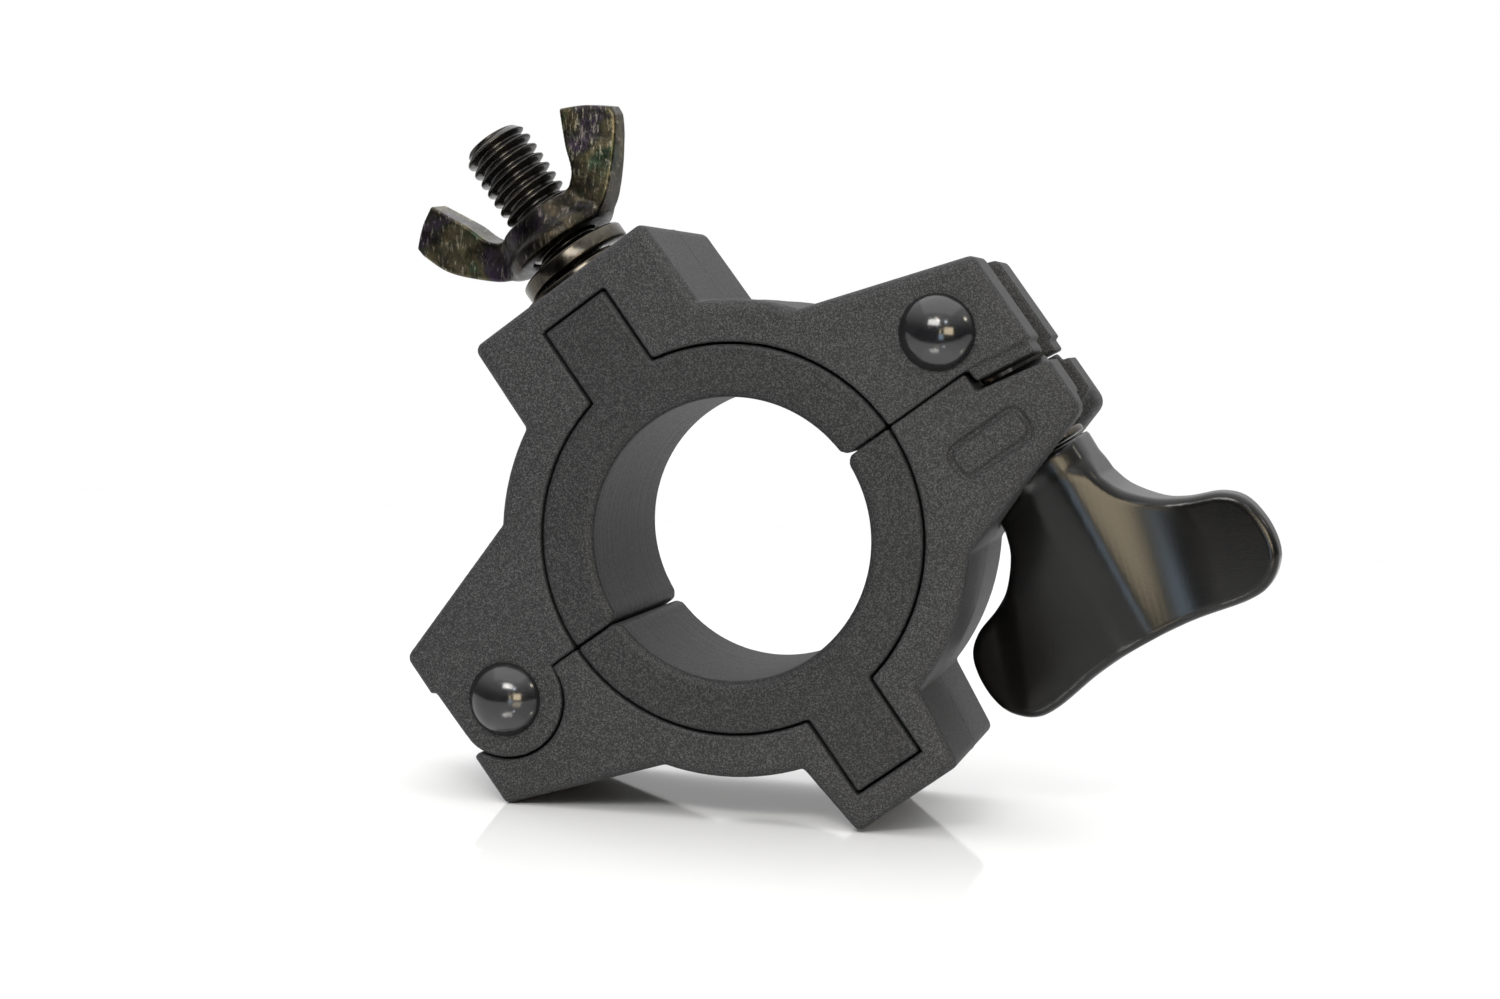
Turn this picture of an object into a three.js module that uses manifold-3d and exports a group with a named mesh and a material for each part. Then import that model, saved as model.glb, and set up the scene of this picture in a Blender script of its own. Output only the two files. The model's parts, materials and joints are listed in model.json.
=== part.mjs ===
// Wrap-around pipe clamp for stage lighting: two hinged ring jaws with reducing inserts,
// an eye-bolt latch with a wing handle, and a captive bolt with a wing nut for the fixture yoke.
// Millimetres. The clamp is drawn in its own axes: x along the split line (hinge to latch),
// y along the pipe (front face towards -y), z along the yoke bolt. The whole assembly is then
// turned about y so that it stands on its two lower corners, with +Z up and the floor at z = 0.
import * as THREE from "three";
import { mergeVertices } from "three/addons/utils/BufferGeometryUtils.js";
import Module from "manifold-3d";

const wasm = await Module();
wasm.setup();

// ---------- driving dimensions ----------
const GAP = 0.3;
const SPLIT = GAP / 2;
const DEPTH = 33.6;
const HALF_DEPTH = DEPTH / 2;
const EDGE_BEVEL = 0.8;
const THROUGH = DEPTH + 20;
const FAR = 60;

const PIPE_LARGE = 50.8;
const PIPE_SMALL = 38.1;
const RING_OUTER = 31.1;
const RING_INNER = PIPE_LARGE / 2 + GAP / 2;
const INSERT_OUTER = PIPE_LARGE / 2 - GAP / 2;
const BORE_FRONT = PIPE_SMALL / 2 - 0.65;
const BORE_BACK = PIPE_SMALL / 2 - 0.1;
const BORE_CHAMFER = 0.7;

const UPPER_BOSS = { halfBase: 14.4, halfEnd: 14.2, end: 40.3 };
const LOWER_BOSS = { halfBase: 9.3, halfEnd: 8.0, end: 40.4 };
const TAB = { half: 4.85, root: 22, end: 36.05, length: 8.8 };

const EAR = { rootDeg: 37.9, end: 46.7, top: 11.4, topCorner: [45.8, 12.3], cheekBack: 43 };
const EAR_LOW = { end: 47.0, low: -10.9, corner: [45.8, -12.3] };
const EAR_LEFT = { end: -45.3, top: 12.0, nose: [-46.1, 11.2], lowTop: -3.8 };
const TONGUE = { start: 37.6, end: 46.1, bottom: -3.0, setBack: 0.4 };
const RECESS = { start: 37.2, floor: -4.75 };

const HINGE = { x: -37.5, z: 0, knuckle: 7.8, tongueHalf: 6.5, pin: 3.0 };
const LATCH = { x: 37.5, z: 6.2, slotHalf: 6.8, pin: 3.0 };
const SLOT = { root: 30.3, rootHeight: 15.1, midHeight: 9.5, mouthHeight: 8.3 };
const DOME = { radius: 4.9, height: 2.9, brim: 0.6 };
const PIN_END = 1.6;

const YOKE_BOLT = { major: 9.525, tip: 65.0, tipChamfer: 0.8 };
const BOLT_HEAD = { flats: 14.3, low: 30.2, high: 36.1 };
const FLAT_WASHER = { outer: 10.3, inner: 5.15, low: 40.6, high: 42.2 };
const LOCK_WASHER = { outer: 8.0, inner: 5.15, low: 42.5, thick: 2.4, rise: 1.4, cutDeg: 8 };
const WING_NUT = { low: 47.0, high: 52.5, base: 8.1, neck: 6.6, bore: 5.06, turnDeg: -8 };
const WING = { rootHalf: 2.3, tipHalf: 1.5, tip: 18.1, edge: 0.5 };

const LATCH_TILT_DEG = 3.5;
const EYE = { outer: 5.6, hole: 3.3, half: 4.6, shank: 3.9, end: 35.4, tipChamfer: 0.7 };
const SEAT = { plane: 18.3, pocket: 8.6, relief: 18.35, reliefHalf: 8.8, reach: 40, endDeg: -20 };
const LATCH_WASHER = { top: 18.6, bottom: 19.6, outer: 7.6, inner: 4.25 };
const HANDLE = { top: 19.9, collar: 23.0, bottom: 47.7, plateHalf: 1.9, edge: 0.9, turnDeg: 10 };
const HANDLE_HUB = { top: 7.3, bottom: 3.4, bore: 4.2, boreEnd: 36.0 };

const LEFT_FOOT = [-45.9, -11.3];
const RIGHT_FOOT = [-LOWER_BOSS.halfEnd, -LOWER_BOSS.end];

const CURVE_STEP_DEG = 6;
const FINE = 96;
const MEDIUM = 48;
const COARSE = 32;

// ---------- materials ----------
function material(color, roughness, metalness) {
  return new THREE.MeshStandardMaterial({ color, roughness, metalness });
}

const plastic = () => material(0x2e2f31, 0.7, 0.0);
const blackSteel = () => material(0x1d1b1a, 0.35, 0.9);
const paintedMetal = () => material(0x2b2a28, 0.32, 0.6);
const passivated = () => material(0x5a5546, 0.4, 0.9);

// ---------- solids ----------
function toSolid(geometry) {
  geometry.deleteAttribute("normal");
  geometry.deleteAttribute("uv");
  const welded = mergeVertices(geometry, 1e-4);
  const mesh = new wasm.Mesh({
    numProp: 3,
    vertProperties: new Float32Array(welded.attributes.position.array),
    triVerts: new Uint32Array(welded.index.array),
  });
  return new wasm.Manifold(mesh);
}

function toMesh(name, solid, look) {
  const data = solid.getMesh();
  const geometry = new THREE.BufferGeometry();
  geometry.setAttribute("position", new THREE.BufferAttribute(new Float32Array(data.vertProperties), 3));
  geometry.setIndex(new THREE.BufferAttribute(new Uint32Array(data.triVerts), 1));
  geometry.computeVertexNormals();
  const mesh = new THREE.Mesh(geometry, look);
  mesh.name = name;
  return mesh;
}

function arcPoints(cx, cz, radius, fromDeg, toDeg, stepDeg = CURVE_STEP_DEG) {
  const count = Math.max(1, Math.round(Math.abs(toDeg - fromDeg) / stepDeg));
  return Array.from({ length: count + 1 }, (_, i) => {
    const angle = THREE.MathUtils.degToRad(fromDeg + ((toDeg - fromDeg) * i) / count);
    return [cx + radius * Math.cos(angle), cz + radius * Math.sin(angle)];
  });
}

// An outline in x and z, pushed along y from low to high.
function pushed(points, low, high, bevel = 0) {
  const shape = new THREE.Shape(points.map(([x, z]) => new THREE.Vector2(x, z)));
  const geometry = new THREE.ExtrudeGeometry(shape, {
    depth: high - low - 2 * bevel,
    bevelEnabled: bevel > 0,
    bevelThickness: bevel,
    bevelSize: bevel,
    bevelOffset: -bevel,
    bevelSegments: 1,
  });
  geometry.rotateX(Math.PI / 2);
  geometry.translate(0, high - bevel, 0);
  return geometry;
}

function prism(points, low, high, bevel = 0) {
  return toSolid(pushed(points, low, high, bevel));
}

function box(x0, x1, y0, y1, z0, z1) {
  const geometry = new THREE.BoxGeometry(x1 - x0, y1 - y0, z1 - z0);
  geometry.translate((x0 + x1) / 2, (y0 + y1) / 2, (z0 + z1) / 2);
  return toSolid(geometry);
}

// A round bar along y.
function barY(cx, cz, radius, low, high, segments = COARSE) {
  const geometry = new THREE.CylinderGeometry(radius, radius, high - low, segments);
  geometry.translate(cx, (low + high) / 2, cz);
  return toSolid(geometry);
}

// A profile of [radius, height] turned about z.
function turned(profile, segments = 36) {
  const geometry = new THREE.LatheGeometry(profile.map(([r, h]) => new THREE.Vector2(r, h)), segments);
  geometry.rotateX(Math.PI / 2);
  return toSolid(geometry);
}

function barZ(radius, low, high) {
  return turned([[0, low], [radius, low], [radius, high], [0, high]]);
}

function hexPrism(flats, low, high) {
  const corner = flats / 2 / Math.cos(Math.PI / 6);
  const geometry = new THREE.CylinderGeometry(corner, corner, high - low, 6);
  geometry.rotateX(Math.PI / 2);
  geometry.rotateZ(Math.PI / 2);
  geometry.translate(0, 0, (low + high) / 2);
  return toSolid(geometry);
}

// ---------- jaws ----------
const UPPER_ROOT_DEG = THREE.MathUtils.radToDeg(Math.acos(UPPER_BOSS.halfBase / RING_OUTER));
const LOWER_ROOT_DEG = THREE.MathUtils.radToDeg(Math.acos(LOWER_BOSS.halfBase / RING_OUTER));
const TRIM = 9;

function upperOutline() {
  return [
    [EAR.end, -TRIM],
    [EAR.end, EAR.top],
    EAR.topCorner,
    ...arcPoints(0, 0, RING_OUTER, EAR.rootDeg, UPPER_ROOT_DEG),
    [UPPER_BOSS.halfEnd, UPPER_BOSS.end],
    [-UPPER_BOSS.halfEnd, UPPER_BOSS.end],
    ...arcPoints(0, 0, RING_OUTER, 180 - UPPER_ROOT_DEG, 180 - EAR.rootDeg),
    [EAR_LEFT.end, EAR_LEFT.top],
    EAR_LEFT.nose,
    [EAR_LEFT.end, 0],
    [EAR_LEFT.end, -TRIM],
  ];
}

function lowerOutline() {
  return [
    [EAR_LOW.end, TRIM],
    [LEFT_FOOT[0], TRIM],
    LEFT_FOOT,
    ...arcPoints(0, 0, RING_OUTER, 180 + EAR.rootDeg, 180 + LOWER_ROOT_DEG),
    [-LOWER_BOSS.halfEnd, -LOWER_BOSS.end],
    [LOWER_BOSS.halfEnd, -LOWER_BOSS.end],
    ...arcPoints(0, 0, RING_OUTER, 360 - LOWER_ROOT_DEG, 360 - EAR.rootDeg),
    EAR_LOW.corner,
    [EAR_LOW.end, EAR_LOW.low],
  ];
}

// Room left in a jaw for the tabs of its insert; side is +1 above the split and -1 below it.
function tabRoom(side) {
  const half = TAB.half + GAP;
  const near = side * TAB.root / 2;
  const far = side * (TAB.end + GAP);
  return box(-half, half, -THROUGH, THROUGH, Math.min(near, far), Math.max(near, far));
}

// The hinge knuckles and the tongue on the split are added before the rooms for moving pieces.
// The yoke bolt's axis runs through the middle of the depth, so its hex pocket lies between the tabs.
function upperJaw() {
  const lap = SPLIT + 0.4;
  const pocketFlats = BOLT_HEAD.flats + 2 * GAP;
  const pocketTop = BOLT_HEAD.high + GAP;
  const hingeRoom = HINGE.tongueHalf + GAP;
  const knuckleRoom = HINGE.knuckle + GAP;
  const tongueHalf = HALF_DEPTH - TONGUE.setBack;
  const slot = [
    [SLOT.root, -TRIM],
    [FAR, -TRIM],
    [FAR, SLOT.mouthHeight],
    [EAR.end, SLOT.midHeight],
    [SLOT.root, SLOT.rootHeight],
  ];
  const knuckles = prism(arcPoints(HINGE.x, HINGE.z, HINGE.knuckle, 180, 360), -HALF_DEPTH, HALF_DEPTH)
    .add(box(EAR_LEFT.end, HINGE.x + HINGE.knuckle, -HALF_DEPTH, HALF_DEPTH, -0.01, lap));
  return prism(upperOutline(), -HALF_DEPTH, HALF_DEPTH, EDGE_BEVEL)
    .subtract(box(-FAR, FAR, -THROUGH, THROUGH, -FAR, SPLIT))
    .add(box(TONGUE.start, TONGUE.end, -tongueHalf, tongueHalf, TONGUE.bottom, lap))
    .add(knuckles)
    .subtract(barY(0, 0, RING_INNER, -THROUGH, THROUGH, FINE))
    .subtract(tabRoom(1))
    .subtract(hexPrism(pocketFlats, TAB.root - GAP, pocketTop))
    .subtract(barZ(YOKE_BOLT.major / 2 + GAP, TAB.root, FAR))
    .subtract(barY(HINGE.x, HINGE.z, knuckleRoom, -hingeRoom, hingeRoom, MEDIUM))
    .subtract(box(-FAR, HINGE.x, -hingeRoom, hingeRoom, -TRIM, knuckleRoom))
    .subtract(barY(HINGE.x, HINGE.z, HINGE.pin + GAP, -THROUGH, THROUGH))
    .subtract(prism(slot, -LATCH.slotHalf, LATCH.slotHalf))
    .subtract(box(EAR.cheekBack, FAR, -LATCH.slotHalf, LATCH.slotHalf, 0, FAR))
    .subtract(barY(LATCH.x, LATCH.z, LATCH.pin + GAP, -THROUGH, THROUGH));
}

function lowerJaw() {
  const leafRoom = HINGE.knuckle + GAP;
  const frontLeaf = barY(HINGE.x, HINGE.z, leafRoom, -THROUGH, -HINGE.tongueHalf, MEDIUM);
  const backLeaf = barY(HINGE.x, HINGE.z, leafRoom, HINGE.tongueHalf, THROUGH, MEDIUM);
  return prism(lowerOutline(), -HALF_DEPTH, HALF_DEPTH, EDGE_BEVEL)
    .subtract(box(-FAR, FAR, -THROUGH, THROUGH, -SPLIT, FAR))
    .subtract(box(-FAR, HINGE.x, -THROUGH, THROUGH, EAR_LEFT.lowTop, FAR))
    .subtract(frontLeaf)
    .subtract(backLeaf)
    .add(barY(HINGE.x, HINGE.z, HINGE.knuckle, -HINGE.tongueHalf, HINGE.tongueHalf, MEDIUM))
    .subtract(box(RECESS.start, FAR, -THROUGH, THROUGH, RECESS.floor, FAR))
    .subtract(barY(0, 0, RING_INNER, -THROUGH, THROUGH, FINE))
    .subtract(tabRoom(-1))
    .subtract(barY(HINGE.x, HINGE.z, HINGE.pin + GAP, -THROUGH, THROUGH))
    .subtract(box(SLOT.root, FAR, -LATCH.slotHalf, LATCH.slotHalf, -FAR, FAR))
    .subtract(alongLatch(barZ(SEAT.pocket, SEAT.plane, FAR)))
    .subtract(swingRelief());
}

// The ear's underside is hollowed about the latch pin, so that the tight washer can swing out.
function swingRelief() {
  const rim = arcPoints(LATCH.x, LATCH.z, SEAT.reach, -90 - LATCH_TILT_DEG, SEAT.endDeg);
  return prism([[LATCH.x, LATCH.z], ...rim], -SEAT.reliefHalf, SEAT.reliefHalf)
    .subtract(barY(LATCH.x, LATCH.z, SEAT.relief, -THROUGH, THROUGH, FINE));
}

// ---------- inserts ----------
// Half of a reducing sleeve, with a drafted bore and two tabs that key it into its jaw.
function insert(side) {
  const beyond = HALF_DEPTH + BORE_CHAMFER;
  const cornerChamfer = 1.0;
  const bore = turned([
    [0, -beyond],
    [BORE_FRONT + 2 * BORE_CHAMFER, -beyond],
    [BORE_FRONT, -HALF_DEPTH + BORE_CHAMFER],
    [BORE_BACK, HALF_DEPTH - BORE_CHAMFER],
    [BORE_BACK + 2 * BORE_CHAMFER, beyond],
    [0, beyond],
  ], FINE).rotate([-90, 0, 0]);
  const tabs = [-HALF_DEPTH, HALF_DEPTH - TAB.length].map((low) =>
    box(-TAB.half, TAB.half, low, low + TAB.length, TAB.root, TAB.end));
  const corners = [-1, 1].map((hand) => {
    const x = hand * BORE_FRONT;
    return prism([
      [x - cornerChamfer, -1],
      [x + cornerChamfer, -1],
      [x + cornerChamfer, SPLIT],
      [x, SPLIT + cornerChamfer],
      [x - cornerChamfer, SPLIT],
    ], -THROUGH, THROUGH);
  });
  const upper = barY(0, 0, INSERT_OUTER, -HALF_DEPTH, HALF_DEPTH, FINE)
    .add(tabs[0])
    .add(tabs[1])
    .subtract(bore)
    .subtract(box(-FAR, FAR, -THROUGH, THROUGH, -FAR, SPLIT))
    .subtract(corners[0])
    .subtract(corners[1]);
  return side > 0 ? upper : upper.rotate([0, 180, 0]);
}

// ---------- pins ----------
function domePoints() {
  const base = HALF_DEPTH + GAP + DOME.brim;
  const height = DOME.height - DOME.brim;
  const sphere = (DOME.radius ** 2 + height ** 2) / (2 * height);
  const half = Math.asin(DOME.radius / sphere);
  const steps = 8;
  const curve = Array.from({ length: steps }, (_, i) => {
    const angle = half * (1 - i / steps);
    return [sphere * Math.sin(angle), base + height - sphere + sphere * Math.cos(angle)];
  });
  return [...curve, [0, base + height]];
}

function pinAt(place) {
  const head = HALF_DEPTH + GAP;
  const profile = [
    [0, -HALF_DEPTH - PIN_END],
    [place.pin, -HALF_DEPTH - PIN_END],
    [place.pin, head],
    [DOME.radius, head],
    ...domePoints(),
  ];
  return turned(profile).rotate([90, 0, 0]).translate([place.x, 0, place.z]);
}

function pinCapAt(place) {
  const head = HALF_DEPTH + GAP;
  const floor = HALF_DEPTH + PIN_END + GAP;
  const hole = place.pin + GAP;
  const profile = [[0, floor], [hole, floor], [hole, head], [DOME.radius, head], ...domePoints()];
  return turned(profile).rotate([-90, 0, 0]).translate([place.x, 0, place.z]);
}

// ---------- yoke bolt, washers and wing nut ----------
function yokeBolt() {
  const radius = YOKE_BOLT.major / 2;
  const shank = turned([
    [0, BOLT_HEAD.low + 1],
    [radius, BOLT_HEAD.low + 1],
    [radius, YOKE_BOLT.tip - YOKE_BOLT.tipChamfer],
    [radius - YOKE_BOLT.tipChamfer, YOKE_BOLT.tip],
    [0, YOKE_BOLT.tip],
  ]);
  return hexPrism(BOLT_HEAD.flats, BOLT_HEAD.low, BOLT_HEAD.high).add(shank);
}

function flatRing(outer, inner, low, high) {
  return turned([[inner, low], [outer, low], [outer, high], [inner, high], [inner, low]]);
}

// A split spring washer: one square-section coil that climbs by its rise, cut at the back.
function lockWasher() {
  const { outer, inner, low, thick, rise, cutDeg } = LOCK_WASHER;
  const steps = 40;
  const positions = [];
  const faces = [];
  for (let i = 0; i <= steps; i += 1) {
    const turn = i / steps;
    const angle = THREE.MathUtils.degToRad(90 + cutDeg / 2 + (360 - cutDeg) * turn);
    const z = low + rise * turn;
    const corners = [[inner, z], [outer, z], [outer, z + thick], [inner, z + thick]];
    corners.forEach(([r, h]) => positions.push(r * Math.cos(angle), r * Math.sin(angle), h));
  }
  for (let i = 0; i < steps; i += 1) {
    for (let side = 0; side < 4; side += 1) {
      const a = i * 4 + side;
      const b = i * 4 + ((side + 1) % 4);
      faces.push(a, a + 4, b, b, a + 4, b + 4);
    }
  }
  const last = steps * 4;
  faces.push(0, 1, 2, 0, 2, 3, last, last + 2, last + 1, last, last + 3, last + 2);
  const geometry = new THREE.BufferGeometry();
  geometry.setAttribute("position", new THREE.Float32BufferAttribute(positions, 3));
  geometry.setIndex(faces);
  return toSolid(geometry);
}

// One wing, thick where it leaves the hub and thinner towards its tip.
function wing() {
  const outline = [
    [5.2, 47.4],
    [8.2, 47.5],
    [12.0, 50.6],
    [15.7, 55.0],
    [WING.tip, 58.8],
    [17.4, 60.0],
    [14.8, 61.4],
    [11.6, 62.2],
    [10.8, 61.6],
    [9.2, 57.6],
    [7.5, 53.4],
    [5.2, 51.6],
  ];
  const geometry = pushed(outline, -WING.rootHalf, WING.rootHalf, WING.edge);
  const place = geometry.attributes.position;
  for (let i = 0; i < place.count; i += 1) {
    const along = (place.getX(i) - WING_NUT.neck) / (WING.tip - WING_NUT.neck);
    const thin = THREE.MathUtils.lerp(1, WING.tipHalf / WING.rootHalf, along);
    place.setY(i, place.getY(i) * thin);
  }
  return toSolid(geometry);
}

function wingNut() {
  const { low, high, base, neck, bore, turnDeg } = WING_NUT;
  const hub = turned([
    [0, low],
    [base - 0.6, low],
    [base, low + 0.8],
    [base - 0.2, low + 2.0],
    [neck + 0.2, high - 1.8],
    [neck, high],
    [0, high],
  ]);
  return hub
    .add(wing())
    .add(wing().rotate([0, 0, 180]))
    .subtract(barZ(bore, low - 1, high + 1))
    .rotate([0, 0, turnDeg]);
}

// ---------- latch ----------
// Latch pieces are drawn along z from the latch pin and laid along the tilted eye bolt.
function alongLatch(solid) {
  return solid.rotate([180, 0, 0]).rotate([0, LATCH_TILT_DEG, 0]).translate([LATCH.x, 0, LATCH.z]);
}

function eyeBolt() {
  const { outer, hole, half, shank, end, tipChamfer } = EYE;
  const stem = turned([
    [0, hole - 1],
    [shank, hole - 1],
    [shank, end - tipChamfer],
    [shank - tipChamfer, end],
    [0, end],
  ]);
  const eye = barY(0, 0, outer, -half, half, MEDIUM);
  return alongLatch(eye.add(stem).subtract(barY(0, 0, hole, -THROUGH, THROUGH)));
}

function latchWasher() {
  const { outer, inner, top, bottom } = LATCH_WASHER;
  return alongLatch(flatRing(outer, inner, top, bottom));
}

function handleOutline() {
  const collar = 7.4;
  const half = [
    [collar, 26.0],
    [8.6, 28.9],
    [11.4, 32.0],
    [15.0, 34.1],
    [19.2, 35.7],
    [21.6, 38.2],
    [22.3, 42.6],
    [21.3, 46.6],
    [18.4, 49.1],
    [14.6, 49.5],
    [7.0, 48.2],
    [0.0, HANDLE.bottom],
  ].map(([x, z]) => new THREE.Vector2(x, z));
  const mirrored = half.slice(0, -1).reverse().map((p) => new THREE.Vector2(-p.x, p.y));
  const lobes = new THREE.SplineCurve([...half, ...mirrored]).getPoints(66).map((p) => [p.x, p.y]);
  return [[-collar, HANDLE.top], [collar, HANDLE.top], ...lobes];
}

// The threaded hole is blind: the end of the eye bolt stays inside the hub.
function handle() {
  const { top, collar, bottom, plateHalf, edge, turnDeg } = HANDLE;
  const plate = prism(handleOutline(), -plateHalf, plateHalf, edge);
  const hub = turned([
    [0, top],
    [HANDLE_HUB.top, top],
    [HANDLE_HUB.top, collar],
    [HANDLE_HUB.bottom, bottom],
    [0, bottom],
  ]);
  const hole = barZ(HANDLE_HUB.bore, top - 1, HANDLE_HUB.boreEnd);
  return alongLatch(plate.add(hub).subtract(hole).rotate([0, 0, turnDeg]));
}

// ---------- assembly ----------
const clamp = new THREE.Group();
clamp.add(
  toMesh("upper_jaw", upperJaw(), plastic()),
  toMesh("lower_jaw", lowerJaw(), plastic()),
  toMesh("upper_insert", insert(1), plastic()),
  toMesh("lower_insert", insert(-1), plastic()),
  toMesh("hinge_pin", pinAt(HINGE), blackSteel()),
  toMesh("hinge_pin_cap", pinCapAt(HINGE), blackSteel()),
  toMesh("latch_pin", pinAt(LATCH), blackSteel()),
  toMesh("latch_pin_cap", pinCapAt(LATCH), blackSteel()),
  toMesh("eye_bolt", eyeBolt(), blackSteel()),
  toMesh("latch_washer", latchWasher(), blackSteel()),
  toMesh("handle", handle(), paintedMetal()),
  toMesh("yoke_bolt", yokeBolt(), blackSteel()),
  toMesh("yoke_washer", flatRing(FLAT_WASHER.outer, FLAT_WASHER.inner, FLAT_WASHER.low, FLAT_WASHER.high),
    blackSteel()),
  toMesh("lock_washer", lockWasher(), blackSteel()),
  toMesh("wing_nut", wingNut(), passivated()),
);

clamp.rotation.y = Math.atan2(RIGHT_FOOT[1] - LEFT_FOOT[1], RIGHT_FOOT[0] - LEFT_FOOT[0]);
clamp.updateMatrixWorld(true);
const bounds = new THREE.Box3().setFromObject(clamp, true);
clamp.position.set(
  -(bounds.min.x + bounds.max.x) / 2,
  -(bounds.min.y + bounds.max.y) / 2,
  -bounds.min.z,
);
const assembly = new THREE.Group();
assembly.add(clamp);

export default assembly;
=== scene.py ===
"""A wrap-around pipe clamp for stage lighting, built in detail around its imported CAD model.

Every piece is drawn in millimetres in its own axes and then laid into the row frame, in metres.
The clamp's axes are x along the split line from hinge to latch, y along the pipe and z along
the yoke bolt. Moulded and cast pieces are solids of signed distance, meshed on a grid; threads,
pins and washers are swept or turned.
"""
import json
import math

import bmesh
import bpy
import numpy as np
from mathutils import Matrix, Vector


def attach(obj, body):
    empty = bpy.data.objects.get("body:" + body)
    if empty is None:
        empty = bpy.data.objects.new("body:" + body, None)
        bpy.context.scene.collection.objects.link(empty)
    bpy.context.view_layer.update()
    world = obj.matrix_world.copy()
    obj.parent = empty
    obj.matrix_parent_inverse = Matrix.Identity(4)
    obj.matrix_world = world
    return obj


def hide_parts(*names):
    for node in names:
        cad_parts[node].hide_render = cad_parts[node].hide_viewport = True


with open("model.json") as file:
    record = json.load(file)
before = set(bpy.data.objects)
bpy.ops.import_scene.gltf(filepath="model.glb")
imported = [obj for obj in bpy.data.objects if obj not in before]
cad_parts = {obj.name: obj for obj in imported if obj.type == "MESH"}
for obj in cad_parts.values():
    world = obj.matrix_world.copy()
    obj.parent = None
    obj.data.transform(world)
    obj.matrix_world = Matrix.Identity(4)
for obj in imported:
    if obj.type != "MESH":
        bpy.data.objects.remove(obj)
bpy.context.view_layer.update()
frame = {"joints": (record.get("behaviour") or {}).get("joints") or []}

MM = 0.001
joints = {joint["name"]: joint for joint in frame["joints"]}

# ---------- camera ----------
CAMERA_PLACE = (0.066361, -0.330799, 0.066433)
CAMERA_YAW, CAMERA_PITCH, CAMERA_ROLL = 13.159, 4.281, 2.069
CAMERA_LENS = 60.315
SENSOR_WIDTH = 36.0


def make_camera():
    camera = bpy.data.objects.new("camera", bpy.data.cameras.new("camera"))
    bpy.context.scene.collection.objects.link(camera)
    camera.data.lens = CAMERA_LENS
    camera.data.sensor_width = SENSOR_WIDTH
    camera.data.clip_start, camera.data.clip_end = 0.01, 20.0
    turn = (
        Matrix.Rotation(math.radians(CAMERA_YAW), 4, "Z")
        @ Matrix.Rotation(math.radians(90 - CAMERA_PITCH), 4, "X")
        @ Matrix.Rotation(math.radians(CAMERA_ROLL), 4, "Z")
    )
    camera.matrix_world = Matrix.Translation(CAMERA_PLACE) @ turn
    bpy.context.scene.camera = camera


make_camera()

# ---------- driving dimensions, in millimetres ----------
GAP = 0.3
SPLIT = GAP / 2
HALF_DEPTH = 16.8
FAR = 60.0

PIPE_LARGE = 50.8
RING_OUTER = 31.1
RING_INNER = PIPE_LARGE / 2 + GAP / 2
INSERT_OUTER = PIPE_LARGE / 2 - GAP / 2
BORE_FRONT, BORE_BACK, BORE_CHAMFER = 18.4, 18.95, 0.7
SPLIT_CHAMFER = 0.9

UPPER_BOSS = {"base": 14.4, "half": 14.2, "end": 40.3}
LOWER_BOSS = {"base": 9.3, "half": 8.0, "end": 40.4}
TAB = {"half": 4.85, "start": 15.0, "end": 36.05, "length": 8.8}
EAR_ROOT_DEG = 37.9

HINGE = {"x": -37.5, "z": 0.0, "knuckle": 7.8, "tongue": 6.5, "pin": 3.0}
LATCH = {"x": 37.5, "z": 6.2, "slot": 6.8, "pin": 3.0, "tilt": 3.5}
DOME = {"radius": 4.9, "height": 2.9, "brim": 0.35}
PIN_SHORT = 1.6
CAP_DEEP = 1.9

BOLT = {"major": 9.525, "pitch": 1.5875, "tip": 65.0, "flats": 14.3, "low": 30.2, "high": 36.1,
        "thread_low": 38.2, "tip_radius": 3.75, "tip_slope": 0.9, "head_chamfer": 0.4}
THREAD = {"depth": 0.58, "crest": 0.12, "flank": 0.72, "round": 0.45, "straight": 0.55}
YOKE_WASHER = {"outer": 10.3, "inner": 5.15, "low": 40.6, "high": 42.0}
LOCK_WASHER = {"outer": 8.0, "inner": 5.15, "low": 42.4, "thick": 2.3, "rise": 1.4, "cut": 8.0}
NUT = {"low": 47.0, "high": 52.5, "base": 8.1, "neck": 6.6, "bore": 5.0, "turn": -8.0,
       "root_half": 3.1, "tip_half": 1.6, "wing": 11.5, "flange": 2.6}
WING_TIPS = {1: ((17.5, 57.8), (11.5, 61.9)), -1: ((17.8, 59.7), (12.1, 62.9))}
LATCH_WASHER = {"outer": 7.6, "inner": 4.25, "low": 18.6, "high": 19.6}
HANDLE = {
    "top": 19.9, "collar": 23.0, "bottom": 47.7, "turn": 10.0, "plate": 1.9,
    "collar_radius": 6.6, "neck": 8.4, "neck_flare": 0.45, "bore": 4.2, "bore_end": 36.0,
    "crest_top": 6.8, "crest_bottom": 4.3, "aside_top": 4.5, "aside_bottom": 2.5,
    "steep": 0.5, "gentle": 0.2, "band": 2.3, "band_slope": 0.26,
}
SLOT_START = 30.3
SLOT_CEILING = [(SLOT_START, -20), (70, -20), (70, 8.3), (46.7, 9.5), (SLOT_START, 15.1)]
BACK_SHORT = 43.0
TONGUE = {"inner": 37.6, "outer": 46.1, "top": 1.0, "low_inner": -1.7, "low_outer": -2.9, "start": 37.9,
          "corner": 0.3, "set_back": 0.6, "edge": 0.25}
SEAM_FALL = {"start": 38.6, "slope": 0.16}
SHELF = {"start": 37.2, "depth": 2.7, "slope": 0.2, "edge": 0.3}
LIP = {"start": 37.0, "end": 46.0, "depth": 2.2, "slope": 0.146, "from": 37.9, "bottom": -8.0, "width": 2.0}
PAD = {"left": 29.6, "right": 40.2, "top": -6.9, "bottom": -11.2, "corner": 1.3, "line": 0.35, "depth": 0.6}
HINGE_DROP = -3.8
HINGE_FADE = 4.0
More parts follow.
